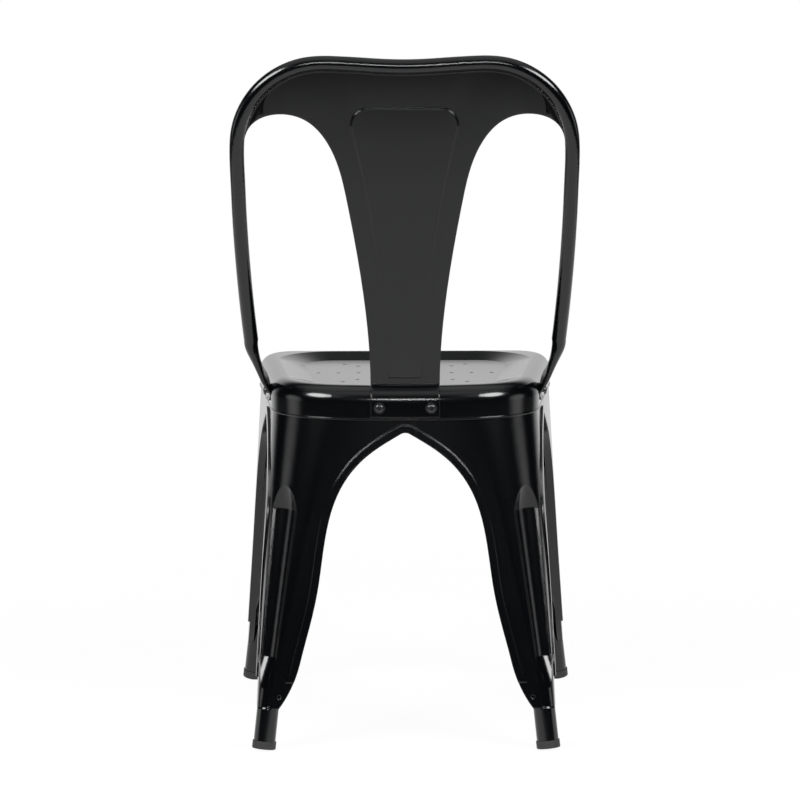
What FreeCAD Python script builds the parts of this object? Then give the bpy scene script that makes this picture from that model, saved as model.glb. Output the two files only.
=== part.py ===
import FreeCAD, Part
import Sketcher
import math
import os
from FreeCAD import Vector, Rotation, Placement

# Bistro chair of pressed steel sheet, powder coated.
# Millimetres. +Z is up, +Y points to the rear, +X is the sitter's left.
# The origin lies on the floor, under the middle of the chair.

doc = FreeCAD.newDocument("bistro_chair")
sizes = doc.addObject("Spreadsheet::Sheet", "Sizes")

DRIVING_SIZES = [
    ("sheet", 1.2, "thickness of the pressed steel sheet"),
    # seat pan
    ("seat_height", 442.0, "highest line of the seat rim above the floor"),
    ("skirt_height", 41.0, "height of the seat pan from hem to rim"),
    ("seat_front", 195.0, "seat front edge, forward of the origin"),
    ("seat_rear", 154.0, "seat rear edge, behind the origin"),
    ("seat_half_front", 193.5, "half width where the side meets the front edge"),
    ("seat_half_rear", 157.5, "half width where the side line meets the rear edge"),
    ("seat_front_corner", 46.0, "radius of the front corners in plan"),
    ("seat_rear_corner", 100.0, "radius of the rear corners in plan"),
    ("seat_rear_bow", 400.0, "radius of the bowed rear edge in plan"),
    ("seat_roll", 20.0, "radius of the rolled top edge"),
    ("dish_depth", 8.0, "depth of the dish below the rim"),
    ("dish_rim", 22.0, "distance of the dish edge from the seat edge"),
    ("dish_slope", 32.0, "width of the sloping part of the dish"),
    ("dish_front_corner", 92.0, "front corner radius that the dish is drawn from"),
    ("dish_rear_corner", 116.0, "rear corner radius that the dish is drawn from"),
    ("hem_height", 2.4, "height of the folded hem"),
    ("hem_fold", 0.7, "how far the folded hem stands out"),
    ("drain_hole", 5.0, "diameter of the holes in the seat"),
    ("drain_centre", -30.0, "middle of the hole pattern, along Y"),
    ("drain_ring_inner", 59.0, "radius of the inner ring of holes"),
    ("drain_ring_step", 25.5, "distance between the rings of holes"),
    ("drain_spokes", 8.0, "number of rows of holes"),
    ("drain_rings", 3.0, "number of rings of holes"),
    # leg pressings
    ("collar_height", 9.0, "height of the leg collar inside the seat skirt"),
    ("ankle_height", 52.0, "height where the pressing becomes a round foot"),
    ("foot_radius", 13.5, "outside radius of the round foot"),
    ("foot_rise", 6.6, "lower end of the foot tube above the floor"),
    ("foot_tuck", 20.0, "length of foot tube inside the pressing"),
    ("rear_ankle_x", 169.4, "middle of the rear foot at ankle height, along X"),
    ("rear_ankle_y", 192.6, "middle of the rear foot at ankle height, along Y"),
    ("front_ankle_x", 195.8, "middle of the front foot at ankle height, along X"),
    ("front_ankle_y", 194.8, "middle of the front foot at ankle height, forward"),
    ("rear_foot_x", 175.0, "middle of the rear foot on the floor, along X"),
    ("rear_foot_y", 199.6, "middle of the rear foot on the floor, along Y"),
    ("front_foot_x", 202.0, "middle of the front foot on the floor, along X"),
    ("front_foot_y", 199.6, "middle of the front foot on the floor, forward"),
    ("lap", 13.0, "overlap of two pressings past the middle of a side"),
    ("lip_width", 9.5, "width of the raised lip along each arch"),
    ("lip_raise", 2.4, "how far the lip stands out"),
    ("lip_end", 84.0, "height where the raised lip runs out"),
    ("return_depth", 7.0, "depth of the edge turned in along each arch"),
    # arch edge, seen square to the rear face
    ("arch_apex", 386.4, "highest point of the arch opening"),
    ("arch_tip_x", 5.5, "end of the rounded tip of the arch"),
    ("arch_tip_z", 384.9, "end of the rounded tip of the arch"),
    ("arch_brow_x", 39.5, "arch edge below the tip"),
    ("arch_brow_z", 363.7, "arch edge below the tip"),
    ("arch_bend_x", 72.3, "arch edge where it turns down"),
    ("arch_bend_z", 329.9, "arch edge where it turns down"),
    ("arch_shoulder_x", 86.0, "arch edge at the top of the leg"),
    ("arch_shoulder_z", 304.0, "arch edge at the top of the leg"),
    ("arch_knee_x", 107.4, "arch edge half way down the leg"),
    ("arch_knee_z", 197.0, "arch edge half way down the leg"),
    ("arch_calf_x", 131.8, "arch edge low on the leg"),
    ("arch_calf_z", 99.7, "arch edge low on the leg"),
    ("arch_heel_x", 142.6, "arch edge where it turns to the foot"),
    ("arch_heel_z", 73.0, "arch edge where it turns to the foot"),
    # corner flutes
    ("flute_top", 318.0, "height where the flute starts"),
    ("flute_full_top", 288.0, "height where the flute has its full depth"),
    ("flute_full_low", 112.0, "height down to which the flute keeps its depth"),
    ("flute_low", 76.0, "height where the flute ends"),
    ("flute_radius_top", 29.0, "radius of the flute near its top"),
    ("flute_radius_low", 19.0, "radius of the flute near its lower end"),
    ("flute_depth_top", 13.0, "depth of the flute near its top"),
    ("flute_depth_low", 10.0, "depth of the flute near its lower end"),
    ("weep_hole", 4.2, "diameter of the small hole above each foot"),
    ("weep_height", 66.0, "height of the small hole above the floor"),
    # rubber foot caps
    ("cap_radius", 14.6, "outside radius of the rubber cap"),
    ("cap_height", 9.8, "height of the rubber cap"),
    ("cap_base", 3.6, "thickness of the cap under the foot"),
    ("cap_sink", 1.1, "how much the flat tread takes off the cap"),
    ("cap_fit", 0.1, "room between the foot and the cap"),
    ("cap_edge", 1.4, "rounding of the lower edge of the cap"),
    # cross braces under the seat
    ("brace_width", 20.0, "width of a brace strap"),
    ("brace_thickness", 3.0, "thickness of a brace strap"),
    ("brace_crown", 371.0, "top of the upper strap at the crossing"),
    ("brace_bow", 450.0, "radius of the bow of a strap"),
    ("brace_aim_height", 325.0, "height where the strap meets the leg corner"),
    # back hoop
    ("overall_height", 850.0, "top of the hoop above the floor"),
    ("hoop_tube", 18.0, "diameter of the hoop tube"),
    ("hoop_wall", 1.5, "wall of the hoop tube"),
    ("hoop_half_width", 202.0, "half width of the hoop at its widest, tube middle"),
    ("hoop_corner", 102.0, "radius of the top corners, tube middle"),
    ("hoop_side_bow", 2700.0, "radius of the bowed sides"),
    ("hoop_dip", 4.4, "dip in the middle of the top bar"),
    ("hoop_foot_y", 40.0, "middle of the hoop ears along Y"),
    ("hoop_foot_z", 422.0, "height of the ear screws"),
    ("hoop_foot_lean", 32.0, "lean of the hoop at the ears, degrees"),
    ("hoop_top_y", 205.0, "middle of the top bar along Y"),
    ("hoop_top_lean", 12.0, "lean of the hoop at the top, degrees"),
    ("ear_thickness", 5.0, "thickness of the flattened tube end"),
    ("ear_width", 25.0, "width of the flattened tube end"),
    ("ear_drop", 12.0, "length of the ear below its screw"),
    ("neck_height", 492.0, "height where the tube starts to flatten"),
    ("neck_step", 0.1, "how much slimmer the pressed end starts than the tube"),
    # back panel
    ("panel_base_y", 134.6, "rear face of the splat at the seat"),
    ("panel_top_y", 198.0, "rear face of the panel at the top"),
    ("panel_base_lean", 5.0, "lean of the splat at the seat, degrees"),
    ("panel_top_lean", 12.0, "lean of the panel at the top, degrees"),
    ("splat_foot_half", 42.4, "half width of the splat at the seat"),
    ("splat_low_half", 44.8, "half width of the splat, low"),
    ("splat_low_z", 499.0, "height of that width"),
    ("splat_mid_half", 53.3, "half width of the splat, below the middle"),
    ("splat_mid_z", 574.0, "height of that width"),
    ("splat_high_half", 70.4, "half width of the splat, above the middle"),
    ("splat_high_z", 673.0, "height of that width"),
    ("splat_neck_half", 88.6, "half width where the splat widens"),
    ("splat_neck_z", 735.0, "height of that width"),
    ("wing_inner_x", 120.0, "lower edge of the wing, inner side"),
    ("wing_inner_z", 771.4, "lower edge of the wing, inner side"),
    ("wing_crown_x", 151.0, "highest point of the lower edge of the wing"),
    ("wing_crown_z", 778.7, "highest point of the lower edge of the wing"),
    ("wing_outer_x", 178.0, "lower edge of the wing, outer side"),
    ("wing_outer_z", 771.0, "lower edge of the wing, outer side"),
    ("wing_tip_z", 744.0, "height where the wing meets the tube"),
    ("emboss_raise", 2.4, "how far the stamped field stands out to the rear"),
    ("emboss_top", 786.0, "top of the stamped field"),
    ("emboss_half_top", 64.5, "half width of the stamped field at its top"),
    ("emboss_mid_half", 36.4, "half width of the stamped field in its middle"),
    ("emboss_mid_z", 625.0, "height of that width"),
    ("emboss_slim_half", 22.0, "half width of the stamped field, low"),
    ("emboss_slim_z", 493.0, "height of that width"),
    ("emboss_half_low", 19.6, "half width of the stamped field at its lower end"),
    ("emboss_low", 452.0, "lower end of the stamped field"),
    ("emboss_corner", 22.0, "radius of the top corners of the stamped field"),
    ("tab_bottom", 404.2, "lower edge of the tab behind the seat"),
    # fasteners
    ("screw_shank", 6.0, "diameter of the screws"),
    ("screw_head", 10.8, "diameter of the domed screw head"),
    ("screw_head_height", 3.2, "height of the domed screw head"),
    ("hex_socket", 4.0, "width of the hexagon socket"),
    ("socket_depth", 2.0, "depth of the hexagon socket"),
    ("screw_play", 0.3, "room around a screw in its hole"),
    ("back_screw_x", 31.5, "distance of the back screws from the middle"),
    ("back_screw_z", 416.6, "height of the back screws"),
    ("back_screw_length", 12.0, "length of the back screws under the head"),
    ("hoop_screw_length", 16.0, "length of the hoop screws under the head"),
    ("washer_radius", 7.0, "outside radius of a washer"),
    ("washer_thickness", 1.2, "thickness of a washer"),
    ("nut_width", 10.0, "width of a nut across its flats"),
    ("nut_height", 5.0, "height of a nut"),
    ("nut_gap", 0.1, "room between a nut and the curved skirt"),
    ("head_rounding", 2.6, "rounding of the screw head"),
]

row = 1
for name, value, meaning in DRIVING_SIZES:
    sizes.set("A%d" % row, name)
    sizes.set("B%d" % row, "%g" % value)
    sizes.setAlias("B%d" % row, name)
    sizes.set("C%d" % row, meaning)
    row = row + 1
doc.recompute()


def size(name):
    """One driving size, read from the spreadsheet."""
    return float(sizes.get(name))


SHEET = size("sheet")
HEM = size("seat_height") - size("skirt_height")
LEFT = 1
RIGHT = -1
REAR = 1
FRONT = -1
FAR = 400.0


# Small helpers for edges and solids

def line(start, end):
    return Part.makeLine(start, end)


def arc(start, middle, end):
    return Part.Arc(start, middle, end).toShape()


def spline(points, first_tangent=None, last_tangent=None):
    curve = Part.BSplineCurve()
    if first_tangent is None:
        curve.interpolate(points)
    else:
        curve.interpolate(Points=points, InitialTangent=first_tangent, FinalTangent=last_tangent)
    return curve


def block(low, high):
    return Part.makeBox(high.x - low.x, high.y - low.y, high.z - low.z, low)


def joined(shapes):
    whole = shapes[0]
    for other in shapes[1:]:
        whole = whole.fuse(other)
    return whole


def hermite(share, start, end, start_slope, end_slope):
    """Smooth blend between two values with a given slope at both ends."""
    cube = share ** 3
    square = share ** 2
    return (
        (2 * cube - 3 * square + 1) * start
        + (cube - 2 * square + share) * start_slope
        + (3 * square - 2 * cube) * end
        + (cube - square) * end_slope
    )


# The plan outline shared by seat and leg pressings

class Plan:
    """Rounded trapezoid with a bowed rear edge, seen from above."""

    def __init__(self, front_y, rear_y, half_front, half_rear, front_corner, rear_corner, bow):
        self.front_y = front_y
        self.rear_y = rear_y
        self.start = Vector(half_front, front_y, 0)
        side = Vector(half_rear, rear_y, 0).sub(self.start)
        self.along = side.normalize()
        self.inward = Vector(-self.along.y, self.along.x, 0)
        self.front_corner = front_corner
        self.rear_corner = rear_corner
        self.bow = bow

    def side_point(self, y, inset):
        """Point of the left side line at this y, moved in by the inset."""
        base = self.start + self.inward * inset
        return base + self.along * ((y - base.y) / self.along.y)

    def front_centre(self):
        return self.side_point(self.front_y + self.front_corner, self.front_corner)

    def rear_centre(self):
        base = self.side_point(self.front_y, self.rear_corner)
        bow_centre = Vector(0, self.rear_y - self.bow, 0)
        reach = self.bow - self.rear_corner
        to_base = base.sub(bow_centre)
        half_b = to_base.dot(self.along)
        rest = to_base.dot(to_base) - reach ** 2
        return base + self.along * (math.sqrt(half_b ** 2 - rest) - half_b)

    def outline(self, z, inset):
        """Closed wire of eight edges at height z, moved in by the inset."""
        front_centre = self.front_centre()
        rear_centre = self.rear_centre()
        bow_centre = Vector(0, self.rear_y - self.bow, 0)
        outward = self.inward * -1
        front_radius = self.front_corner - inset
        rear_radius = self.rear_corner - inset
        to_bow = rear_centre.sub(bow_centre).normalize()
        front_down = Vector(0, -1, 0)
        a = front_centre + front_down * front_radius
        b = front_centre + (front_down + outward).normalize() * front_radius
        c = front_centre + outward * front_radius
        d = rear_centre + outward * rear_radius
        e = rear_centre + (outward + to_bow).normalize() * rear_radius
        f = rear_centre + to_bow * rear_radius
        g = Vector(0, self.rear_y - inset, 0)

        def lift(point, side):
            return Vector(point.x * side, point.y, z)

        edges = [
            line(lift(a, RIGHT), lift(a, LEFT)),
            arc(lift(a, LEFT), lift(b, LEFT), lift(c, LEFT)),
            line(lift(c, LEFT), lift(d, LEFT)),
            arc(lift(d, LEFT), lift(e, LEFT), lift(f, LEFT)),
            arc(lift(f, LEFT), lift(g, LEFT), lift(f, RIGHT)),
            arc(lift(f, RIGHT), lift(e, RIGHT), lift(d, RIGHT)),
            line(lift(d, RIGHT), lift(c, RIGHT)),
            arc(lift(c, RIGHT), lift(b, RIGHT), lift(a, RIGHT)),
        ]
        return Part.Wire(edges)


seat_plan = Plan(
    -size("seat_front"),
    size("seat_rear"),
    size("seat_half_front"),
    size("seat_half_rear"),
    size("seat_front_corner"),
    size("seat_rear_corner"),
    size("seat_rear_bow"),
)

dish_plan = Plan(
    -size("seat_front"),
    size("seat_rear"),
    size("seat_half_front"),
    size("seat_half_rear"),
    size("dish_front_corner"),
    size("dish_rear_corner"),
    size("seat_rear_bow"),
)


def ankle_plan():
    """Outline through the four round feet at ankle height."""
    radius = size("foot_radius")
    front = Vector(size("front_ankle_x"), -size("front_ankle_y"), 0)
    rear = Vector(size("rear_ankle_x"), size("rear_ankle_y"), 0)
    along = rear.sub(front).normalize()
    outward = Vector(along.y, -along.x, 0)
    start = front + outward * radius
    front_y = front.y - radius
    rear_y = rear.y + radius
    half_front = start.x + along.x / along.y * (front_y - start.y)
    half_rear = start.x + along.x / along.y * (rear_y - start.y)
    return Plan(front_y, rear_y, half_front, half_rear, radius, radius, 50 * size("seat_rear_bow"))


foot_plan = ankle_plan()


# Seat pan: outer form minus the same form moved in by the sheet thickness

def seat_form(inset):
    top = size("seat_height") - inset
    wall = Part.Face(seat_plan.outline(HEM, inset)).extrude(Vector(0, 0, top - HEM))
    rim = [e for e in wall.Edges if abs(e.BoundBox.ZMin - top) < 0.01 and abs(e.BoundBox.ZMax - top) < 0.01]
    rolled = wall.makeFillet(size("seat_roll") - inset, rim)
    dish_top = dish_plan.outline(top, size("dish_rim"))
    dish_floor = dish_plan.outline(top - size("dish_depth"), size("dish_rim") + size("dish_slope"))
    dish = Part.makeLoft([dish_floor, dish_top], True, True)
    return rolled.cut(dish)


def seat_pan():
    pan = seat_form(0).cut(seat_form(SHEET))
    hem_outer = Part.Face(seat_plan.outline(HEM, -size("hem_fold")))
    hem_inner = Part.Face(seat_plan.outline(HEM, 0.3 * SHEET))
    hem = hem_outer.cut(hem_inner).extrude(Vector(0, 0, size("hem_height")))
    pan = pan.fuse(hem)
    holes = []
    radius = size("drain_hole") / 2
    low = size("seat_height") - size("dish_depth") - 5 * SHEET
    height = size("dish_depth") + 10 * SHEET
    spokes = int(round(size("drain_spokes")))
    for spoke in range(spokes):
        turn = 2 * math.pi * spoke / spokes
        for ring in range(int(round(size("drain_rings")))):
            reach = size("drain_ring_inner") + ring * size("drain_ring_step")
            x = reach * math.cos(turn)
            y = size("drain_centre") + reach * math.sin(turn)
            holes.append(Part.makeCylinder(radius, height, Vector(x, y, low)))
    holes.append(Part.makeCylinder(radius, height, Vector(0, size("drain_centre"), low)))
    for side in (LEFT, RIGHT):
        holes.append(back_screw_hole(side))
        holes.append(hoop_screw_hole(side))
    return pan.cut(Part.makeCompound(holes))


# Leg frame: one form for all four pressings

def frame_form(inset):
    """Solid inside the surface of the leg frame, moved in by the inset."""
    tuck = SHEET + inset
    sections = [
        foot_plan.outline(size("ankle_height"), inset),
        seat_plan.outline(HEM, tuck),
        seat_plan.outline(HEM + size("collar_height"), tuck),
    ]
    lower = Part.makeLoft(sections[:2], True, True)
    collar = Part.makeLoft(sections[1:], True, True)
    return lower.fuse(collar).removeSplitter()


def arch_half(stretch, widen):
    """Points of half an arch edge, moved out of the opening by widen, from tip to ankle."""
    names = ["tip", "brow", "bend", "shoulder", "knee", "calf", "heel"]
    points = []
    for name in names:
        points.append(Vector(size("arch_%s_x" % name) * stretch, 0, size("arch_%s_z" % name)))
    ankle_x = (size("rear_ankle_x") - size("foot_radius")) * stretch
    points.append(Vector(ankle_x, 0, size("ankle_height")))
    slope = Vector(1, 0, -0.6).normalize()
    drop = Vector(0.16, 0, -1).normalize()
    curve = spline(points, slope, drop)
    moved = []
    count = 15
    for step in range(count + 1):
        at = curve.FirstParameter + (curve.LastParameter - curve.FirstParameter) * step / count
        tangent = Vector(curve.tangent(at)[0])
        out = Vector(-tangent.z, 0, tangent.x)
        moved.append(curve.value(at) + out * widen)
    return moved


def arch_face(stretch, widen):
    """The arch opening as a flat face in the XZ plane, widened by a margin."""
    half = arch_half(stretch, widen)
    other = [Vector(-p.x, 0, p.z) for p in half]
    below = size("ankle_height") - 10
    apex = Vector(0, 0, size("arch_apex") + widen)
    left = spline(half).toShape()
    right = spline(other).toShape()
    tip = arc(other[0], apex, half[0])
    foot_left = Vector(half[-1].x, 0, below)
    foot_right = Vector(-half[-1].x, 0, below)
    edges = [tip, left, line(half[-1], foot_left), line(foot_left, foot_right), line(foot_right, other[-1]), right]
    return Part.Face(Part.Wire(Part.__sortEdges__(edges)))


def arch_block(widen):
    """The four arch openings cut straight through the sides of the frame."""
    inner = size("rear_ankle_x") - size("foot_radius")
    rear = arch_face(1.0, widen).extrude(Vector(0, FAR, 0))
    front_stretch = (size("front_ankle_x") - size("foot_radius")) / inner
    front = arch_face(front_stretch, widen).extrude(Vector(0, -FAR, 0))
    reach = (size("rear_ankle_y") + size("front_ankle_y")) / 2 - size("foot_radius")
    side = arch_face(reach / inner, widen)
    side.rotate(Vector(0, 0, 0), Vector(0, 0, 1), 90)
    side.translate(Vector(0, (size("rear_ankle_y") - size("front_ankle_y")) / 2, 0))
    left = side.extrude(Vector(FAR, 0, 0))
    right = side.extrude(Vector(-FAR, 0, 0))
    return [rear, front, left, right]


def corner_at(depth, z):
    """Middle and radius of the frame corner at height z, on the left side."""
    share = (z - size("ankle_height")) / (HEM - size("ankle_height"))
    if depth == REAR:
        low = foot_plan.rear_centre()
        high = seat_plan.rear_centre()
        high_radius = size("seat_rear_corner") - SHEET
    else:
        low = foot_plan.front_centre()
        high = seat_plan.front_centre()
        high_radius = size("seat_front_corner") - SHEET
    middle = low + (high - low) * share
    radius = size("foot_radius") + (high_radius - size("foot_radius")) * share
    return Vector(middle.x, middle.y, z), radius


def flute(side, depth, grow):
    """The groove along one leg corner as a solid, grown by the sheet for the inner face."""
    heights = ["flute_low", "flute_full_low", "flute_full_top", "flute_top"]
    radii = ["flute_radius_low", "flute_radius_low", "flute_radius_top", "flute_radius_top"]
    depths = [0.0, size("flute_depth_low"), size("flute_depth_top"), 0.0]
    out = Vector(1, depth, 0).normalize()
    wires = []
    for height, radius_name, sink in zip(heights, radii, depths):
        middle, corner = corner_at(depth, size(height))
        radius = size(radius_name)
        spot = middle + out * (corner + radius - sink)
        spot = Vector(spot.x * side, spot.y, spot.z)
        wires.append(Part.Wire(Part.makeCircle(radius + grow, spot, Vector(0, 0, 1))))
    pieces = [Part.makeLoft(wires[i:i + 2], True, True) for i in range(3)]
    return joined(pieces)


CORNERS = [(LEFT, REAR), (RIGHT, REAR), (LEFT, FRONT), (RIGHT, FRONT)]


def frame_sheet():
    """The sheet of all four pressings before it is divided."""
    lip = size("lip_raise")
    above_end = block(Vector(-FAR, -FAR, size("lip_end")), Vector(FAR, FAR, 2 * FAR))
    above_end_inner = block(Vector(-FAR, -FAR, size("lip_end") + SHEET), Vector(FAR, FAR, 2 * FAR))
    raised = frame_form(-lip).common(above_end)
    raised_inner = frame_form(SHEET - lip).common(above_end_inner)
    outer = frame_form(0)
    for opening in arch_block(size("lip_width")):
        outer = outer.fuse(raised.common(opening))
    inner = frame_form(SHEET)
    for opening in arch_block(size("lip_width") - SHEET):
        inner = inner.fuse(raised_inner.common(opening))
    for side, depth in CORNERS:
        outer = outer.cut(flute(side, depth, 0))
        inner = inner.cut(flute(side, depth, SHEET))
    core = frame_form(size("return_depth"))
    for opening in arch_block(SHEET):
        inner = inner.cut(opening.cut(core))
    shell = outer.cut(inner)
    for opening in arch_block(0):
        shell = shell.cut(opening)
    return shell


def lap_sheet():
    """The second layer of sheet where two pressings overlap."""
    layer = frame_form(SHEET).cut(frame_form(2 * SHEET))
    for opening in arch_block(size("lip_width")):
        layer = layer.cut(opening)
    return layer




def foot_middle(side, depth, z):
    """Middle of a round foot at height z, continued along the leg corner above the ankle."""
    ankle = size("ankle_height")
    if depth == REAR:
        low = Vector(size("rear_foot_x"), size("rear_foot_y"), 0)
        high = Vector(size("rear_ankle_x"), size("rear_ankle_y"), ankle)
    else:
        low = Vector(size("front_foot_x"), -size("front_foot_y"), 0)
        high = Vector(size("front_ankle_x"), -size("front_ankle_y"), ankle)
    if z > ankle:
        spot = corner_at(depth, z)[0]
    else:
        spot = low + (high - low) * (z / ankle)
    return Vector(spot.x * side, spot.y, z)


def foot_tube(side, depth, radius):
    heights = [size("foot_rise"), size("ankle_height"), size("ankle_height") + size("foot_tuck")]
    rings = []
    for z in heights:
        rings.append(Part.Wire(Part.makeCircle(radius, foot_middle(side, depth, z), Vector(0, 0, 1))))
    lower = Part.makeLoft(rings[:2], True, True)
    upper = Part.makeLoft(rings[1:], True, True)
    return lower.fuse(upper)


def quarter(side, depth, sheet_shell, lap_shell):
    """One leg pressing: left and rear pressings lie on the outside of the laps."""
    lap = size("lap")
    step = 3 * SHEET
    middle = (seat_plan.rear_y + seat_plan.front_y) / 2
    split_y = middle - lap
    low_x, high_x = (-lap, FAR) if side == LEFT else (-FAR, -lap)
    low_y, high_y = (split_y, FAR) if depth == REAR else (-FAR, split_y)
    body = sheet_shell.common(block(Vector(low_x, low_y, 0), Vector(high_x, high_y, FAR * 2)))
    if side == RIGHT:
        edge_low, edge_high = (0, FAR) if depth == REAR else (-FAR, 0)
        tab = block(Vector(-lap - step, edge_low, 0), Vector(lap, edge_high, FAR * 2))
        body = body.fuse(lap_shell.common(tab))
    if depth == FRONT:
        edge_low, edge_high = (0, FAR) if side == LEFT else (-FAR, 0)
        tab = block(Vector(edge_low, split_y - step, 0), Vector(edge_high, middle + lap, FAR * 2))
        body = body.fuse(lap_shell.common(tab))
    body = body.fuse(foot_tube(side, depth, size("foot_radius")))
    body = body.cut(foot_tube(side, depth, size("foot_radius") - SHEET))
    weep = foot_middle(side, depth, size("weep_height"))
    start = weep + Vector(-side * size("foot_radius") * 0.75, 0, 0)
    hole = Part.makeCylinder(size("weep_hole") / 2, 2 * size("foot_radius"), start, Vector(0, 1, 0))
    return body.cut(hole)


# Back hoop: a bent tube with flattened ends

def hoop_crest():
    return size("overall_height") - size("hoop_tube") / 2


def hoop_y(z):
    """Where the hoop middle lies along Y at height z."""
    rise = hoop_crest() - size("hoop_foot_z")
    share = (z - size("hoop_foot_z")) / rise
    share = min(max(share, -0.1), 1.0)
    return hermite(
        share,
        size("hoop_foot_y"),
        size("hoop_top_y"),
        rise * math.tan(math.radians(size("hoop_foot_lean"))),
        rise * math.tan(math.radians(size("hoop_top_lean"))),
    )


def hoop_front_half(inward):
    """Points (x, z) of half the hoop seen from the front, from the neck to the middle of the top."""
    corner_z = hoop_crest() - size("hoop_corner")
    corner_x = size("hoop_half_width") - size("hoop_corner")
    points = []
    bow = size("hoop_side_bow")
    count = 6
    for step in range(count):
        z = size("neck_height") + (corner_z - size("neck_height")) * step / count
        drop = corner_z - z
        x = size("hoop_half_width") - (bow - math.sqrt(bow ** 2 - drop ** 2))
        tilt = math.asin(drop / bow)
        points.append((x - inward * math.cos(tilt), z + inward * math.sin(tilt)))
    count = 7
    for step in range(count):
        turn = math.pi / 2 * step / count
        radius = size("hoop_corner") - inward
        points.append((corner_x + radius * math.cos(turn), corner_z + radius * math.sin(turn)))
    count = 5
    for step in range(count + 1):
        x = corner_x * (1 - step / count)
        wave = (1 + math.cos(math.pi * x / corner_x)) / 2
        points.append((x, hoop_crest() - size("hoop_dip") * wave - inward))
    return points


def hoop_path():
    half = hoop_front_half(0)
    whole = half + [(-x, z) for x, z in reversed(half[:-1])]
    return [Vector(x, hoop_y(z), z) for x, z in whole]


def squarish(centre, across, along, half_across, half_along, power):
    """Closed smooth section between an ellipse and a rounded rectangle."""
    points = []
    count = 20
    for step in range(count):
        turn = 2 * math.pi * step / count
        c = math.cos(turn)
        s = math.sin(turn)
        u = math.copysign(abs(c) ** (2 / power), c) * half_across
        v = math.copysign(abs(s) ** (2 / power), s) * half_along
        points.append(centre + across * u + along * v)
    curve = Part.BSplineCurve()
    curve.interpolate(Points=points, PeriodicFlag=True)
    return Part.Wire(curve.toShape())


def ear(side):
    """Flattened, rounded tube end lying against the seat skirt."""
    outward = seat_plan.inward * -1
    lean = math.radians(size("hoop_foot_lean"))
    slope = seat_plan.along * math.sin(lean) + Vector(0, 0, math.cos(lean))
    across_low = seat_plan.along * math.cos(lean) - Vector(0, 0, math.sin(lean))
    touch = seat_plan.side_point(size("hoop_foot_y"), 0)
    half_flat = size("ear_thickness") / 2
    foot = touch + outward * half_flat + Vector(0, 0, size("hoop_foot_z"))
    path = spline(hoop_path())
    neck = Vector(path.value(path.FirstParameter))
    tangent = Vector(path.tangent(path.FirstParameter)[0])
    radius = size("hoop_tube") / 2
    across_top = tangent.cross(outward).normalize() * -1
    out_top = across_top.cross(tangent).normalize()
    if out_top.dot(outward) < 0:
        out_top = out_top * -1
    length = (neck - foot).dot(slope)
    sections = [squarish(foot - slope * size("ear_drop") * 1.3, outward, across_low, half_flat, size("ear_width") / 2, 6)]
    sections.append(squarish(foot + slope * length * 0.12, outward, across_low, half_flat, size("ear_width") / 2, 6))
    shares = [0.34, 0.56, 0.78]
    for share in shares:
        base = hermite(share, 0.0, 1.0, 0.0, 0.0)
        middle = foot + slope * (length * share)
        aim = neck - foot - slope * length
        aim_out = aim.dot(outward)
        centre = middle + outward * (aim_out * base ** 0.8) + (aim - outward * aim_out) * share
        grow = hermite(share, 0.0, 1.0, 0.0, 0.6)
        half_out = half_flat + (radius - half_flat) * grow
        half_wide = size("ear_width") / 2 + (radius - size("ear_width") / 2) * grow
        power = 6 - 4 * min(1.0, share * 1.4)
        turn_out = (outward + (out_top - outward) * share).normalize()
        turn_across = (across_low + (across_top - across_low) * share).normalize()
        sections.append(squarish(centre, turn_out, turn_across, half_out, half_wide, max(power, 2.0)))
    neck_radius = radius - size("neck_step")
    sections.append(squarish(neck, out_top, across_top, neck_radius, neck_radius, 2))
    solid = Part.makeLoft(sections, True, False)
    reach = size("ear_width")
    keep = Part.makeCylinder(size("ear_width") / 2, 6 * reach, foot - outward * 3 * reach, outward)
    low = Part.makeBox(4 * reach, 4 * reach, 2 * reach, Vector(-2 * reach, -2 * reach, -2 * reach))
    turn = FreeCAD.Matrix(
        outward.x, across_low.x, slope.x, foot.x,
        outward.y, across_low.y, slope.y, foot.y,
        outward.z, across_low.z, slope.z, foot.z,
        0, 0, 0, 1,
    )
    low = low.transformGeometry(turn)
    solid = solid.cut(low.cut(keep))
    radius_hole = size("screw_shank") / 2 + size("screw_play")
    solid = solid.cut(Part.makeCylinder(radius_hole, 2 * reach, foot - outward * reach, outward))
    if side == RIGHT:
        solid = solid.mirror(Vector(0, 0, 0), Vector(1, 0, 0))
    return solid


def hoop_tube():
    """The bent tube: an outer skin, a bore and two ring-shaped ends, closed to one solid."""
    points = hoop_path()
    curve = spline(points)
    path = Part.Wire(curve.toShape())
    tangent = Vector(curve.tangent(curve.FirstParameter)[0])
    outer_radius = size("hoop_tube") / 2
    bore_radius = outer_radius - size("hoop_wall")
    outer_ring = Part.Wire(Part.makeCircle(outer_radius, points[0], tangent))
    bore_ring = Part.Wire(Part.makeCircle(bore_radius, points[0], tangent))
    outer = path.makePipeShell([outer_ring], False, False)
    bore = path.makePipeShell([bore_ring], False, False)
    faces = list(outer.Faces) + list(bore.Faces)
    last = Vector(curve.tangent(curve.LastParameter)[0])
    for spot, direction in ((points[0], tangent), (points[-1], last)):
        disc = Part.Face(Part.Wire(Part.makeCircle(outer_radius, spot, direction)))
        hole = Part.Face(Part.Wire(Part.makeCircle(bore_radius, spot, direction)))
        faces.append(disc.cut(hole).Faces[0])
    skin = Part.makeShell(faces)
    skin.sewShape()
    tube = Part.makeSolid(skin)
    if tube.Volume < 0:
        tube.reverse()
    return tube


def back_hoop():
    return hoop_tube().fuse([ear(LEFT), ear(RIGHT)])


# Back panel: wings and splat from one sheet

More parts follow.
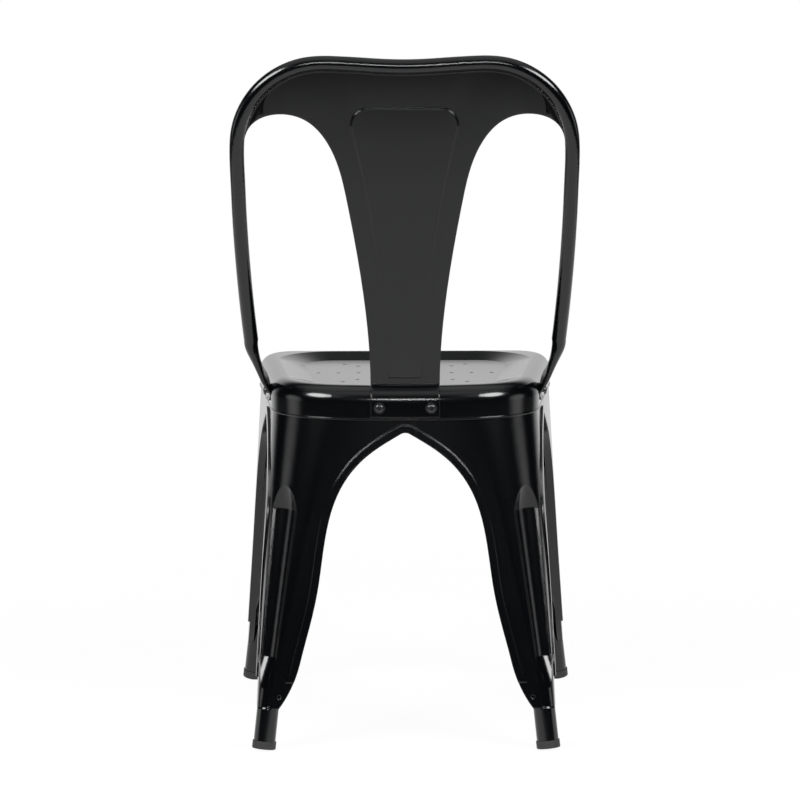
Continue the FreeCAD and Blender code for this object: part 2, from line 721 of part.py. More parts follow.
def panel_y(z):
    low = size("seat_height")
    rise = hoop_crest() - low
    share = min(max((z - low) / rise, -0.1), 1.1)
    return hermite(
        share,
        size("panel_base_y"),
        size("panel_top_y"),
        rise * math.tan(math.radians(size("panel_base_lean"))),
        rise * math.tan(math.radians(size("panel_top_lean"))),
    )


def in_front_of(profile, shift):
    """Everything in front of a curved upright surface, between seat and top."""
    low = size("seat_height") + 0.4
    high = size("overall_height") + 20
    points = []
    count = 10
    for step in range(count + 1):
        z = low + (high - low) * step / count
        points.append(Vector(-FAR, profile(z) + shift, z))
    corner_low = Vector(-FAR, 0, low)
    corner_high = Vector(-FAR, 0, high)
    edges = [
        spline(points).toShape(),
        line(points[-1], corner_high),
        line(corner_high, corner_low),
        line(corner_low, points[0]),
    ]
    return Part.Face(Part.Wire(edges)).extrude(Vector(2 * FAR, 0, 0))


def mirrored(points):
    return [Vector(-p.x, p.y, p.z) for p in points]


def upright_prism(edges):
    return Part.Face(Part.Wire(Part.__sortEdges__(edges))).extrude(Vector(0, FAR, 0))


def hoop_area(margin):
    """Area inside the hoop, as a prism along Y; margin is measured in from the tube middle."""
    half = [Vector(x, 0, z) for x, z in hoop_front_half(margin)]
    whole = half + mirrored(list(reversed(half[:-1])))
    low_left = Vector(half[0].x, 0, size("tab_bottom"))
    low_right = Vector(-half[0].x, 0, size("tab_bottom"))
    edges = [
        spline(whole).toShape(),
        line(whole[-1], low_right),
        line(low_right, low_left),
        line(low_left, whole[0]),
    ]
    return upright_prism(edges)


def splat_side():
    names = ["low", "mid", "high", "neck"]
    points = [Vector(size("splat_foot_half"), 0, size("seat_height"))]
    for name in names:
        points.append(Vector(size("splat_%s_half" % name), 0, size("splat_%s_z" % name)))
    for name in ["inner", "crown", "outer"]:
        points.append(Vector(size("wing_%s_x" % name), 0, size("wing_%s_z" % name)))
    tip_x = size("hoop_half_width") - size("hoop_tube") / 2
    points.append(Vector(tip_x, 0, size("wing_tip_z")))
    return points


def panel_area():
    """Front view of the panel, wider than the hoop at the top, as a prism."""
    left = splat_side()
    right = mirrored(left)
    out_left = Vector(FAR, 0, left[-1].z)
    out_right = Vector(-FAR, 0, left[-1].z)
    top_left = Vector(FAR, 0, size("overall_height"))
    top_right = Vector(-FAR, 0, size("overall_height"))
    edges = [
        line(right[0], left[0]),
        spline(left).toShape(),
        line(left[-1], out_left),
        line(out_left, top_left),
        line(top_left, top_right),
        line(top_right, out_right),
        line(out_right, right[-1]),
        spline(right).toShape(),
    ]
    return upright_prism(edges)


def emboss_area(inset):
    """The stamped field as a prism along Y."""
    top = size("emboss_top") - inset
    wide = size("emboss_half_top") - inset
    round_by = size("emboss_corner") - inset
    start = Vector(wide, 0, top - round_by)
    bend = round_by * (1 - math.sqrt(0.5))
    left = [
        start,
        Vector(size("emboss_mid_half") - inset, 0, size("emboss_mid_z")),
        Vector(size("emboss_slim_half") - inset, 0, size("emboss_slim_z")),
        Vector(size("emboss_half_low") - inset, 0, size("emboss_low") + inset),
    ]
    right = mirrored(left)
    corner = Vector(wide - bend, 0, top - bend)
    end = Vector(wide - round_by, 0, top)
    edges = [
        spline(left).toShape(),
        line(left[-1], right[-1]),
        spline(right).toShape(),
        arc(start, corner, end),
        line(end, mirrored([end])[0]),
        arc(right[0], mirrored([corner])[0], mirrored([end])[0]),
    ]
    return upright_prism(edges)


def back_panel():
    touch = size("hoop_tube") / 2
    area = panel_area().common(hoop_area(touch))
    rear_side = in_front_of(panel_y, 0)
    front_side = in_front_of(panel_y, -SHEET)
    raised = in_front_of(panel_y, size("emboss_raise"))
    raised_front = in_front_of(panel_y, size("emboss_raise") - SHEET)
    sheet = area.common(rear_side).fuse(emboss_area(0).common(raised))
    hollow = front_side.fuse(emboss_area(SHEET).common(raised_front))
    sheet = sheet.cut(hollow)
    ring = hoop_area(touch).cut(hoop_area(touch + SHEET)).common(panel_area())
    flange = ring.common(in_front_of(hoop_y, 1.0)).cut(front_side)
    sheet = sheet.fuse(flange)
    half = size("splat_foot_half")
    begin = Vector(-half, size("panel_base_y") - SHEET, size("tab_bottom"))
    end = Vector(half, FAR, size("overall_height"))
    tab = seat_form(-SHEET).cut(seat_form(0)).common(block(begin, end))
    sheet = sheet.fuse(tab)
    for side in (LEFT, RIGHT):
        sheet = sheet.cut(back_screw_hole(side))
    return sheet


def back_screw_spot(side, out):
    """Point on the bowed rear of the seat at a back screw, and the direction square to it."""
    bow = size("seat_rear_bow")
    turn = math.asin(size("back_screw_x") / bow)
    away = Vector(side * math.sin(turn), math.cos(turn), 0)
    middle = Vector(0, size("seat_rear") - bow, size("back_screw_z"))
    return middle + away * (bow + out), away


def back_screw_hole(side):
    spot, away = back_screw_spot(side, 0)
    radius = size("screw_shank") / 2 + size("screw_play")
    reach = size("seat_roll")
    return Part.makeCylinder(radius, 2 * reach, spot - away * reach, away)


def hoop_screw_spot(side, out):
    """Point on the side of the seat at a hoop screw, and the direction square to it."""
    outward = seat_plan.inward * -1
    base = seat_plan.side_point(size("hoop_foot_y"), 0) + outward * out
    spot = Vector(base.x * side, base.y, size("hoop_foot_z"))
    return spot, Vector(outward.x * side, outward.y, 0)


def hoop_screw_hole(side):
    spot, away = hoop_screw_spot(side, 0)
    radius = size("screw_shank") / 2 + size("screw_play")
    reach = size("seat_roll")
    return Part.makeCylinder(radius, 2 * reach, spot - away * reach, away)


def brace(side):
    """One bowed strap from a rear leg corner to the opposite front leg corner."""
    aim = size("brace_aim_height")
    rear, rear_radius = corner_at(REAR, aim)
    front, front_radius = corner_at(FRONT, aim)
    rear = rear + Vector(1, 1, 0).normalize() * rear_radius
    front = front + Vector(1, -1, 0).normalize() * front_radius
    start = Vector(rear.x * side, rear.y, 0)
    stop = Vector(-front.x * side, front.y, 0)
    along = (stop - start).normalize()
    middle = start + along * (-start.x / along.x)
    crown = size("brace_crown")
    if side == RIGHT:
        crown = crown - size("brace_thickness")
    bow = size("brace_bow")
    half_turn = math.asin(0.62)
    outer = []
    inner = []
    for turn in (-half_turn, 0, half_turn):
        outer.append(Vector(bow * math.sin(turn), 0, bow * math.cos(turn) - bow))
        low = bow - size("brace_thickness")
        inner.append(Vector(low * math.sin(turn), 0, low * math.cos(turn) - bow))
    edges = [arc(*outer), line(outer[-1], inner[-1]), arc(*inner), line(inner[0], outer[0])]
    strap = Part.Face(Part.Wire(Part.__sortEdges__(edges))).extrude(Vector(0, size("brace_width"), 0))
    strap.translate(Vector(0, -size("brace_width") / 2, 0))
    strap.rotate(Vector(0, 0, 0), Vector(0, 0, 1), math.degrees(math.atan2(along.y, along.x)))
    strap.translate(Vector(middle.x, middle.y, crown))
    strap = strap.common(frame_form(SHEET))
    for corner_side, depth in CORNERS:
        strap = strap.cut(flute(corner_side, depth, SHEET))
    return strap



# Sub-parts that are drawn as bodies with sketches

def sketch_on(body, name, role):
    sketch = body.newObject("Sketcher::SketchObject", name)
    plane = [f for f in body.Origin.OriginFeatures if f.Role == role][0]
    sketch.AttachmentSupport = [(plane, "")]
    sketch.MapMode = "FlatFace"
    return sketch


def polygon(sketch, corners):
    """Closed polygon whose corners are pairs of expressions; an empty text means zero."""
    count = len(corners)
    spots = []
    for corner in corners:
        numbers = [0.0 if text == "" else worked_out(text) for text in corner]
        spots.append(Vector(numbers[0], numbers[1], 0))
    for index in range(count):
        sketch.addGeometry(Part.LineSegment(spots[index], spots[(index + 1) % count]), False)
    for index in range(count):
        sketch.addConstraint(Sketcher.Constraint("Coincident", index, 2, (index + 1) % count, 1))
    for index in range(count):
        across, up = corners[index]
        if across == "":
            sketch.addConstraint(Sketcher.Constraint("PointOnObject", index, 1, -2))
        else:
            number = sketch.addConstraint(Sketcher.Constraint("DistanceX", -1, 1, index, 1, spots[index].x))
            sketch.setExpression("Constraints[%d]" % number, across)
        if up == "":
            sketch.addConstraint(Sketcher.Constraint("PointOnObject", index, 1, -1))
        else:
            number = sketch.addConstraint(Sketcher.Constraint("DistanceY", -1, 1, index, 1, spots[index].y))
            sketch.setExpression("Constraints[%d]" % number, up)


def worked_out(text):
    """Value of an expression over the sheet, through a spare cell."""
    sizes.set("E1", "=" + text.replace("Sizes.", ""))
    sizes.recompute()
    return float(sizes.get("E1"))


def circle(sketch, expression):
    index = sketch.addGeometry(Part.Circle(Vector(0, 0, 0), Vector(0, 0, 1), worked_out(expression)), False)
    sketch.addConstraint(Sketcher.Constraint("Coincident", index, 3, -1, 1))
    number = sketch.addConstraint(Sketcher.Constraint("Radius", index, worked_out(expression)))
    sketch.setExpression("Constraints[%d]" % number, expression)


def hexagon(sketch, width):
    """Hexagon around the middle, given the width across its flats as an expression."""
    half = "%s / 2" % width
    point = "%s / sqrt(3)" % width
    half_point = "%s / sqrt(3) / 2" % width
    corners = [
        (point, ""),
        (half_point, half),
        ("-" + half_point, half),
        ("-" + point, ""),
        ("-" + half_point, "-" + half),
        (half_point, "-" + half),
    ]
    polygon(sketch, corners)


def turned(body, name, corners):
    """Turned piece: its half section stands beside the body's upright axis."""
    sketch = sketch_on(body, name + "_section", "XZ_Plane")
    polygon(sketch, corners)
    turning = body.newObject("PartDesign::Revolution", name + "_turning")
    turning.Profile = sketch
    turning.ReferenceAxis = (sketch, ["V_Axis"])
    turning.Angle = 360.0
    doc.recompute()
    return turning


def rounded(body, name, base, radius_name, z, reach):
    """Round the circular edge of the base feature that lies at height z with the given radius."""
    for index, edge in enumerate(base.Shape.Edges):
        box = edge.BoundBox
        level = abs(box.ZMin - z) < 0.01 and abs(box.ZMax - z) < 0.01
        if level and abs(box.XMax - reach) < 0.1:
            fillet = body.newObject("PartDesign::Fillet", name + "_rounding")
            fillet.Base = (base, ["Edge%d" % (index + 1)])
            fillet.Radius = size(radius_name)
            fillet.setExpression("Radius", "Sizes." + radius_name)
            doc.recompute()
            return fillet
    raise ValueError("no edge to round on " + name)


def pointing(away):
    return Rotation(Vector(0, 0, 1), away)


def pair(label, body):
    """The body and its mirror image on the other side, as one group of two solids."""
    twin = doc.addObject("Part::Mirroring", label + "_twin")
    twin.Source = body
    twin.Normal = Vector(1, 0, 0)
    twin.Base = Vector(0, 0, 0)
    group = doc.addObject("Part::Compound", label)
    group.Links = [body, twin]
    group.Label = label
    doc.recompute()
    return group


def screw(name, length_name):
    """Button head screw with a hexagon socket; its tip is at the body's origin."""
    body = doc.addObject("PartDesign::Body", name + "_body")
    length = "Sizes." + length_name
    top = length + " + Sizes.screw_head_height"
    corners = [
        ("", ""),
        ("Sizes.screw_shank / 2", ""),
        ("Sizes.screw_shank / 2", length),
        ("Sizes.screw_head / 2", length),
        ("Sizes.screw_head / 2", top),
        ("", top),
    ]
    turning = turned(body, name, corners)
    full = size(length_name) + size("screw_head_height")
    rounded(body, name, turning, "head_rounding", full, size("screw_head") / 2)
    socket = sketch_on(body, name + "_socket", "XY_Plane")
    socket.AttachmentOffset = Placement(Vector(0, 0, full), Rotation())
    socket.setExpression("AttachmentOffset.Base.z", top)
    hexagon(socket, "Sizes.hex_socket")
    before = body.Shape.Volume
    pocket = body.newObject("PartDesign::Pocket", name + "_socket_pocket")
    pocket.Profile = socket
    pocket.Length = size("socket_depth")
    pocket.setExpression("Length", "Sizes.socket_depth")
    doc.recompute()
    if body.Shape.Volume > before - 1:
        raise ValueError("the socket cuts nothing")
    return body


def nut(name):
    body = doc.addObject("PartDesign::Body", name + "_body")
    outline = sketch_on(body, name + "_outline", "XY_Plane")
    hexagon(outline, "Sizes.nut_width")
    circle(outline, "Sizes.screw_shank / 2")
    pad = body.newObject("PartDesign::Pad", name + "_pad")
    pad.Profile = outline
    pad.Length = size("nut_height")
    pad.setExpression("Length", "Sizes.nut_height")
    doc.recompute()
    return body


def washer(name):
    body = doc.addObject("PartDesign::Body", name + "_body")
    outline = sketch_on(body, name + "_outline", "XY_Plane")
    circle(outline, "Sizes.washer_radius")
    circle(outline, "Sizes.screw_shank / 2 + Sizes.screw_play")
    pad = body.newObject("PartDesign::Pad", name + "_pad")
    pad.Profile = outline
    pad.Length = size("washer_thickness")
    pad.setExpression("Length", "Sizes.washer_thickness")
    doc.recompute()
    return body


def foot_cap(label, side, depth):
    """Rubber cap in line with its foot, with a flat tread where it stands on the floor."""
    body = doc.addObject("PartDesign::Body", label + "_body")
    bore = "Sizes.foot_radius + Sizes.cap_fit"
    corners = [
        ("", ""),
        ("Sizes.cap_radius", ""),
        ("Sizes.cap_radius", "Sizes.cap_height"),
        (bore, "Sizes.cap_height"),
        (bore, "Sizes.cap_base"),
        ("", "Sizes.cap_base"),
    ]
    turning = turned(body, label, corners)
    rounded(body, label, turning, "cap_edge", 0.0, size("cap_radius"))
    low = foot_middle(side, depth, 0)
    axis = (foot_middle(side, depth, size("ankle_height")) - low).normalize()
    spread = math.sqrt(1 - axis.z ** 2)
    rise = size("cap_radius") * spread - size("cap_sink")
    body.Placement = Placement(low + axis * (rise / axis.z), pointing(axis))
    floor = doc.addObject("Part::Box", label + "_floor")
    for key in ("Length", "Width", "Height"):
        setattr(floor, key, 4 * size("cap_radius"))
        floor.setExpression(key, "4 * Sizes.cap_radius")
    reach = 2 * size("cap_radius")
    floor.Placement = Placement(Vector(low.x - reach, low.y - reach, -2 * reach), Rotation())
    cap = doc.addObject("Part::Cut", label)
    cap.Base = body
    cap.Tool = floor
    cap.Label = label
    doc.recompute()
    return cap


def feature(label, shape):
    """A pressed or bent piece whose shape comes from the functions above."""
    piece = doc.addObject("Part::Feature", label)
    piece.Shape = shape
    piece.Placement = Placement()
    piece.Label = label
    return piece


# The assembly

subparts = [feature("seat_pan", seat_pan())]

pressed = frame_sheet()
laps = lap_sheet()
leg_names = ["rear_left", "rear_right", "front_left", "front_right"]
for name, (side, depth) in zip(leg_names, CORNERS):
    subparts.append(feature("leg_" + name, quarter(side, depth, pressed, laps)))
    subparts.append(foot_cap("foot_cap_" + name, side, depth))

subparts.append(feature("brace_upper", brace(LEFT)))
subparts.append(feature("brace_lower", brace(RIGHT)))
subparts.append(feature("back_hoop", back_hoop()))
subparts.append(feature("back_panel", back_panel()))

back_washer = washer("back_washer")
spot, away = back_screw_spot(LEFT, SHEET)
back_washer.Placement = Placement(spot, pointing(away))
subparts.append(pair("back_washers", back_washer))

back_screw = screw("back_screw", "back_screw_length")
spot, away = back_screw_spot(LEFT, SHEET + size("washer_thickness") - size("back_screw_length"))
back_screw.Placement = Placement(spot, pointing(away))
subparts.append(pair("back_screws", back_screw))

back_nut = nut("back_nut")
spot, away = back_screw_spot(LEFT, -SHEET - size("nut_gap") - size("nut_height"))
back_nut.Placement = Placement(spot, pointing(away))
subparts.append(pair("back_nuts", back_nut))

hoop_screw = screw("hoop_screw", "hoop_screw_length")
spot, away = hoop_screw_spot(LEFT, size("ear_thickness") - size("hoop_screw_length"))
hoop_screw.Placement = Placement(spot, pointing(away))
subparts.append(pair("hoop_screws", hoop_screw))

hoop_nut = nut("hoop_nut")
spot, away = hoop_screw_spot(LEFT, -SHEET - size("nut_gap") - size("nut_height"))
hoop_nut.Placement = Placement(spot, pointing(away))
subparts.append(pair("hoop_nuts", hoop_nut))

doc.recompute()

for item in doc.Objects:
    if "Invalid" in item.State or "Error" in item.State:
        raise ValueError("not computed: " + item.Label)
for item in subparts:
    if item.Shape.isNull() or not item.Shape.isValid():
        raise ValueError("bad shape: " + item.Label)

os.makedirs("parts", exist_ok=True)
for item in subparts:
    item.Shape.exportStep("parts/" + item.Label + ".step")
    print(item.Label, len(item.Shape.Solids), round(item.Shape.Volume))
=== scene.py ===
import math
import bpy
import bmesh
from mathutils import Matrix, Vector

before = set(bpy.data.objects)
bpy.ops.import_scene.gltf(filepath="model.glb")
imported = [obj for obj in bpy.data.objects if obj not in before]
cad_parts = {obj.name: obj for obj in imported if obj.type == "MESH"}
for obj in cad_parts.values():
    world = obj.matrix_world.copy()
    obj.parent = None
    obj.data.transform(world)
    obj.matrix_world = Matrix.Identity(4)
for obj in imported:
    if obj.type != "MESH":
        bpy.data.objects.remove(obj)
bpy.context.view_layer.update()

# Bistro chair of pressed steel sheet with a black powder coat. Sizes are in metres.
# Every piece keeps the mesh of its CAD node and only gets its finish here.

scene = bpy.context.scene


# Powder coat: two blacks that drift into each other, a faint orange peel, softened edges

COAT_DARK = (0.0007, 0.0009, 0.0013)
COAT_LIGHT = (0.0016, 0.0019, 0.0026)
COAT_ROUGHNESS = (0.13, 0.18)
COAT_CLOUD_SCALE = 9.0
COAT_CLOUD_DETAIL = 3.0
PEEL_SCALE = 700.0
PEEL_DETAIL = 2.0
PEEL_STRENGTH = 0.03
PEEL_DEPTH = 0.0002
EDGE_SAMPLES = 6
FRAME_EDGE_RADIUS = 0.0020
SEAT_EDGE_RADIUS = 0.0016
PANEL_EDGE_RADIUS = 0.0026

# Seat: within this reach of its middle lie the drain holes, whose edges stay crisp

HOLES_MIDDLE = (0.0, -0.03, 0.44)
HOLES_REACH = 0.115
HOLES_FADE = 0.012
HOLE_EDGE_RADIUS = 0.0002

# Back panel: a round fold beside the hoop's tube, beyond which the outer corners seem to lean

FOLD_CENTRE_X = 0.1259
FOLD_CENTRE_Z = 0.7814
FOLD_RADIUS = 0.044
FOLD_TILT = math.radians(25.0)
FOLD_START_X = FOLD_CENTRE_X + 0.008
FOLD_FULL_X = FOLD_CENTRE_X + 0.022

# Rubber of the foot caps, and steel of the screws, washers and nuts

RUBBER_DARK = (0.012, 0.012, 0.012)
RUBBER_LIGHT = (0.022, 0.022, 0.022)
RUBBER_ROUGHNESS = (0.5, 0.65)
RUBBER_CLOUD_SCALE = 60.0
RUBBER_CLOUD_DETAIL = 4.0

BLACKENED_COLOUR = (0.07, 0.07, 0.073)
BLACKENED_ROUGHNESS = 0.25
ZINC_COLOUR = (0.5, 0.51, 0.52)
ZINC_ROUGHNESS = 0.3
STEEL_CLOUD_SCALE = 400.0
STEEL_CLOUD_DETAIL = 3.0
STEEL_LIGHTER = 1.3
STEEL_ROUGHER = 0.1


def new_material(name):
    material = bpy.data.materials.new(name)
    material.use_nodes = True
    tree = material.node_tree
    tree.nodes.clear()
    output = tree.nodes.new("ShaderNodeOutputMaterial")
    shader = tree.nodes.new("ShaderNodeBsdfPrincipled")
    tree.links.new(shader.outputs["BSDF"], output.inputs["Surface"])
    return material, tree, shader


def object_place(tree):
    """The place on the object, which is the place in the room, as every object is at the origin."""
    return tree.nodes.new("ShaderNodeTexCoord").outputs["Object"]


def object_noise(tree, scale, detail):
    noise = tree.nodes.new("ShaderNodeTexNoise")
    noise.inputs["Scale"].default_value = scale
    noise.inputs["Detail"].default_value = detail
    tree.links.new(object_place(tree), noise.inputs["Vector"])
    return noise.outputs["Fac"]


def ramp(tree, source, low, high):
    blend = tree.nodes.new("ShaderNodeMapRange")
    blend.inputs["To Min"].default_value = low
    blend.inputs["To Max"].default_value = high
    tree.links.new(source, blend.inputs["Value"])
    return blend.outputs["Result"]


def fade(tree, source, start, end, low=0.0, high=1.0):
    """Smooth change from low to high while the source goes from start to end."""
    blend = tree.nodes.new("ShaderNodeMapRange")
    blend.interpolation_type = "SMOOTHSTEP"
    blend.inputs["From Min"].default_value = start
    blend.inputs["From Max"].default_value = end
    blend.inputs["To Min"].default_value = low
    blend.inputs["To Max"].default_value = high
    tree.links.new(source, blend.inputs["Value"])
    return blend.outputs["Result"]


def colour_mix(tree, source, first, second):
    mix = tree.nodes.new("ShaderNodeMix")
    mix.data_type = "RGBA"
    mix.inputs["A"].default_value = first + (1.0,)
    mix.inputs["B"].default_value = second + (1.0,)
    tree.links.new(source, mix.inputs["Factor"])
    return mix.outputs["Result"]


def maths(tree, operation, first, second=0.0):
    node = tree.nodes.new("ShaderNodeMath")
    node.operation = operation
    for socket, value in zip(node.inputs, (first, second)):
        if isinstance(value, (int, float)):
            socket.default_value = value
        else:
            tree.links.new(value, socket)
    return node.outputs["Value"]


def powder_coat(name, edge_radius):
    """The satin black coat. Its soft_edge and peel nodes keep their names for the two coats below."""
    material, tree, shader = new_material(name)
    cloud = object_noise(tree, COAT_CLOUD_SCALE, COAT_CLOUD_DETAIL)
    tree.links.new(colour_mix(tree, cloud, COAT_DARK, COAT_LIGHT), shader.inputs["Base Color"])
    tree.links.new(ramp(tree, cloud, *COAT_ROUGHNESS), shader.inputs["Roughness"])
    soft_edge = tree.nodes.new("ShaderNodeBevel")
    soft_edge.name = "soft_edge"
    soft_edge.samples = EDGE_SAMPLES
    soft_edge.inputs["Radius"].default_value = edge_radius
    peel = tree.nodes.new("ShaderNodeBump")
    peel.name = "peel"
    peel.inputs["Strength"].default_value = PEEL_STRENGTH
    peel.inputs["Distance"].default_value = PEEL_DEPTH
    tree.links.new(object_noise(tree, PEEL_SCALE, PEEL_DETAIL), peel.inputs["Height"])
    tree.links.new(soft_edge.outputs["Normal"], peel.inputs["Normal"])
    tree.links.new(peel.outputs["Normal"], shader.inputs["Normal"])
    return material


def seat_powder_coat():
    """The coat with almost sharp edges around the drain holes."""
    material = powder_coat("black_powder_coat_seat", SEAT_EDGE_RADIUS)
    tree = material.node_tree
    from_middle = tree.nodes.new("ShaderNodeVectorMath")
    from_middle.operation = "DISTANCE"
    from_middle.inputs[1].default_value = HOLES_MIDDLE
    tree.links.new(object_place(tree), from_middle.inputs[0])
    distance = from_middle.outputs["Value"]
    holes_end = HOLES_REACH + HOLES_FADE
    radius = fade(tree, distance, HOLES_REACH, holes_end, HOLE_EDGE_RADIUS, SEAT_EDGE_RADIUS)
    tree.links.new(radius, tree.nodes["soft_edge"].inputs["Radius"])
    return material


def panel_powder_coat():
    """The coat, shaded as if the flat outer corners leaned forward beyond the fold."""
    material = powder_coat("black_powder_coat_panel", PANEL_EDGE_RADIUS)
    tree = material.node_tree
    spot = tree.nodes.new("ShaderNodeSeparateXYZ")
    tree.links.new(object_place(tree), spot.inputs["Vector"])
    surface = tree.nodes.new("ShaderNodeNewGeometry")
    facing = tree.nodes.new("ShaderNodeSeparateXYZ")
    tree.links.new(surface.outputs["True Normal"], facing.inputs["Vector"])
    out = maths(tree, "ABSOLUTE", spot.outputs["X"])
    across = maths(tree, "POWER", maths(tree, "SUBTRACT", out, FOLD_CENTRE_X), 2.0)
    up = maths(tree, "POWER", maths(tree, "SUBTRACT", spot.outputs["Z"], FOLD_CENTRE_Z), 2.0)
    reach = maths(tree, "SQRT", maths(tree, "ADD", across, up))
    beyond = maths(tree, "MAXIMUM", maths(tree, "SUBTRACT", reach, FOLD_RADIUS), 0.0)
    beyond = maths(tree, "MULTIPLY", beyond, fade(tree, out, FOLD_START_X, FOLD_FULL_X))
    drop = maths(tree, "MULTIPLY", beyond, -math.tan(FOLD_TILT))
    height = maths(tree, "MULTIPLY", drop, maths(tree, "SIGN", facing.outputs["Y"]))
    fold = tree.nodes.new("ShaderNodeBump")
    fold.inputs["Strength"].default_value = 1.0
    fold.inputs["Distance"].default_value = 1.0
    tree.links.new(height, fold.inputs["Height"])
    tree.links.new(tree.nodes["soft_edge"].outputs["Normal"], fold.inputs["Normal"])
    tree.links.new(fold.outputs["Normal"], tree.nodes["peel"].inputs["Normal"])
    return material


def rubber(name):
    material, tree, shader = new_material(name)
    cloud = object_noise(tree, RUBBER_CLOUD_SCALE, RUBBER_CLOUD_DETAIL)
    tree.links.new(colour_mix(tree, cloud, RUBBER_DARK, RUBBER_LIGHT), shader.inputs["Base Color"])
    tree.links.new(ramp(tree, cloud, *RUBBER_ROUGHNESS), shader.inputs["Roughness"])
    return material


def steel(name, colour, roughness):
    material, tree, shader = new_material(name)
    cloud = object_noise(tree, STEEL_CLOUD_SCALE, STEEL_CLOUD_DETAIL)
    lighter = tuple(part * STEEL_LIGHTER for part in colour)
    tree.links.new(colour_mix(tree, cloud, colour, lighter), shader.inputs["Base Color"])
    tree.links.new(ramp(tree, cloud, roughness, roughness + STEEL_ROUGHER), shader.inputs["Roughness"])
    shader.inputs["Metallic"].default_value = 1.0
    return material


frame_coat = powder_coat("black_powder_coat", FRAME_EDGE_RADIUS)
seat_coat = seat_powder_coat()
panel_coat = panel_powder_coat()
cap_rubber = rubber("black_rubber")
screw_steel = steel("blackened_steel", BLACKENED_COLOUR, BLACKENED_ROUGHNESS)
nut_steel = steel("zinc_plate", ZINC_COLOUR, ZINC_ROUGHNESS)


def finish_for(name):
    if "nut" in name:
        return nut_steel
    if "screw" in name or "washer" in name:
        return screw_steel
    if name.startswith("foot_cap"):
        return cap_rubber
    return {"back_panel": panel_coat, "seat_pan": seat_coat}.get(name, frame_coat)


for name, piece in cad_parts.items():
    for slot in piece.material_slots:
        slot.material = finish_for(name)


# Camera behind the chair, at the place, tilt and lens that fit the photograph

CAMERA_X = 0.0064
CAMERA_DISTANCE = 4.7
CAMERA_HEIGHT = 1.1167
CAMERA_PITCH = 0.15061
CAMERA_ROLL = -0.0028
LENS_PIXELS = 3760.6
PICTURE_PIXELS = 800
SENSOR_WIDTH = 36.0

camera_data = bpy.data.cameras.new("camera")
camera_data.sensor_width = SENSOR_WIDTH
camera_data.lens = LENS_PIXELS / PICTURE_PIXELS * SENSOR_WIDTH
camera = bpy.data.objects.new("camera", camera_data)
camera.location = (CAMERA_X, CAMERA_DISTANCE, CAMERA_HEIGHT)
aim = Matrix.Rotation(math.pi, 3, "Z") @ Matrix.Rotation(math.pi / 2 - CAMERA_PITCH, 3, "X")
camera.rotation_euler = (aim @ Matrix.Rotation(CAMERA_ROLL, 3, "Z")).to_euler()
scene.collection.objects.link(camera)
scene.camera = camera


# Lights: a large soft box on each side, and a long strip behind that catches the hoop

SOFTBOX_X = 1.75
SOFTBOX_Y = 1.35
SOFTBOX_Z = 1.95
SOFTBOX_AIM = (0.0, 0.1, 0.65)
SOFTBOX_SIZE = (1.5, 1.0)
SOFTBOX_POWER = 60.0
STRIP_PLACE = (0.0, 3.6, 1.75)
STRIP_AIM = (0.0, 0.2, 0.84)
STRIP_SIZE = (1.8, 0.16)
STRIP_POWER = 30.0


def area_light(name, place, aim_at, size, power):
    data = bpy.data.lights.new(name, "AREA")
    data.shape = "ELLIPSE"
    data.size = size[0]
    data.size_y = size[1]
    data.energy = power
    light = bpy.data.objects.new(name, data)
    light.location = place
    direction = Vector(aim_at) - Vector(place)
    light.rotation_euler = direction.to_track_quat("-Z", "Y").to_euler()
    scene.collection.objects.link(light)


for side, x in (("left", SOFTBOX_X), ("right", -SOFTBOX_X)):
    area_light("softbox_" + side, (x, SOFTBOX_Y, SOFTBOX_Z), SOFTBOX_AIM, SOFTBOX_SIZE, SOFTBOX_POWER)
area_light("strip_rear", STRIP_PLACE, STRIP_AIM, STRIP_SIZE, STRIP_POWER)


# Floor: a white disc that shows a little of the chair's shadow near the middle and none far out

WHITE = (1.0, 1.0, 1.0, 1.0)
FLOOR_COLOUR = (0.9, 0.9, 0.9, 1.0)
FLOOR_RADIUS = 2.1
FLOOR_SEGMENTS = 128
FLOOR_SHIFT = -0.35
GLOW_NEAR = 0.95
GLOW_FAR = 1.0
GLOW_START = 0.5
GLOW_FULL = 1.6


def seen_directly(tree):
    """1 for camera rays and mirror rays, 0 for light that bounces softly."""
    path = tree.nodes.new("ShaderNodeLightPath")
    return maths(tree, "MAXIMUM", path.outputs["Is Camera Ray"], path.outputs["Is Glossy Ray"])


def floor_finish():
    material = bpy.data.materials.new("floor_white")
    material.use_nodes = True
    tree = material.node_tree
    tree.nodes.clear()
    output = tree.nodes.new("ShaderNodeOutputMaterial")
    diffuse = tree.nodes.new("ShaderNodeBsdfDiffuse")
    diffuse.inputs["Color"].default_value = FLOOR_COLOUR
    glow = tree.nodes.new("ShaderNodeEmission")
    reach = tree.nodes.new("ShaderNodeVectorMath")
    reach.operation = "LENGTH"
    tree.links.new(object_place(tree), reach.inputs[0])
    glow_share = fade(tree, reach.outputs["Value"], GLOW_START, GLOW_FULL, GLOW_NEAR, GLOW_FAR)
    mix = tree.nodes.new("ShaderNodeMixShader")
    tree.links.new(maths(tree, "MULTIPLY", seen_directly(tree), glow_share), mix.inputs["Fac"])
    tree.links.new(diffuse.outputs["BSDF"], mix.inputs[1])
    tree.links.new(glow.outputs["Emission"], mix.inputs[2])
    tree.links.new(mix.outputs["Shader"], output.inputs["Surface"])
    return material


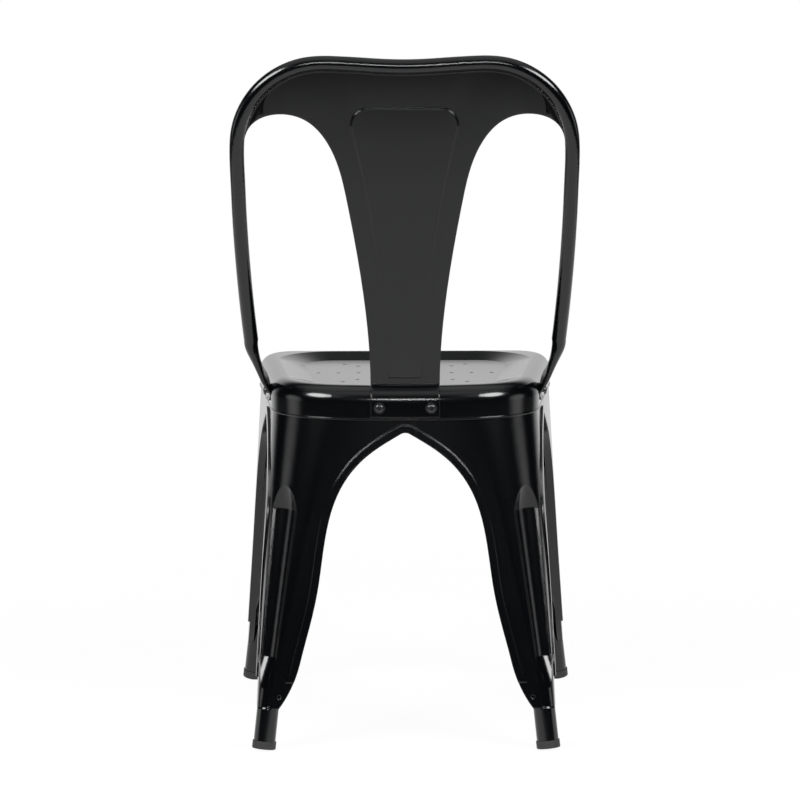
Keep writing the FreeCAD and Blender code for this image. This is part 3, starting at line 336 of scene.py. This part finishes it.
disc = bmesh.new()
bmesh.ops.create_circle(disc, cap_ends=True, radius=FLOOR_RADIUS, segments=FLOOR_SEGMENTS)
bmesh.ops.translate(disc, vec=(0.0, FLOOR_SHIFT, 0.0), verts=disc.verts)
floor_mesh = bpy.data.meshes.new("floor")
disc.to_mesh(floor_mesh)
disc.free()
floor = bpy.data.objects.new("floor", floor_mesh)
scene.collection.objects.link(floor)
floor_mesh.materials.append(floor_finish())


# Surroundings: white for the camera, and for all other rays a studio with bright walls.
# Each pair is where a bright part starts and where it is full, along one axis of the direction.

FRONT_WALL_Y = (-0.60, -0.86)
FRONT_WALL_Z = (0.62, 0.36)
SIDE_WALLS_X = (0.95, 1.0)
SIDE_WALLS_Z = (0.5, 0.2)
SIDE_WALLS_LEVEL = 1.3
CEILING_Z = (0.62, 0.92)
CEILING_LEVEL = 0.7
DIM_LEVEL = 0.006


def studio_light(tree):
    """Strength of the studio's light by direction."""
    direction = tree.nodes.new("ShaderNodeTexCoord")
    split = tree.nodes.new("ShaderNodeSeparateXYZ")
    tree.links.new(direction.outputs["Generated"], split.inputs["Vector"])
    height = split.outputs["Z"]
    front = fade(tree, split.outputs["Y"], *FRONT_WALL_Y)
    wall = maths(tree, "MULTIPLY", front, fade(tree, height, *FRONT_WALL_Z))
    beside = maths(tree, "ABSOLUTE", split.outputs["X"])
    walls = fade(tree, beside, *SIDE_WALLS_X, 0.0, SIDE_WALLS_LEVEL)
    sides = maths(tree, "MULTIPLY", walls, fade(tree, height, *SIDE_WALLS_Z))
    ceiling = fade(tree, height, *CEILING_Z, 0.0, CEILING_LEVEL)
    brightest = maths(tree, "MAXIMUM", maths(tree, "MAXIMUM", wall, sides), ceiling)
    return maths(tree, "ADD", brightest, DIM_LEVEL)


def white_background(tree):
    background = tree.nodes.new("ShaderNodeBackground")
    background.inputs["Color"].default_value = WHITE
    return background


def surroundings():
    world = bpy.data.worlds.new("studio")
    world.use_nodes = True
    tree = world.node_tree
    tree.nodes.clear()
    output = tree.nodes.new("ShaderNodeOutputWorld")
    camera_white = white_background(tree)
    studio = white_background(tree)
    tree.links.new(studio_light(tree), studio.inputs["Strength"])
    path = tree.nodes.new("ShaderNodeLightPath")
    mix = tree.nodes.new("ShaderNodeMixShader")
    tree.links.new(path.outputs["Is Camera Ray"], mix.inputs["Fac"])
    tree.links.new(studio.outputs["Background"], mix.inputs[1])
    tree.links.new(camera_white.outputs["Background"], mix.inputs[2])
    tree.links.new(mix.outputs["Shader"], output.inputs["Surface"])
    return world


scene.world = surroundings()
scene.view_settings.view_transform = "Standard"
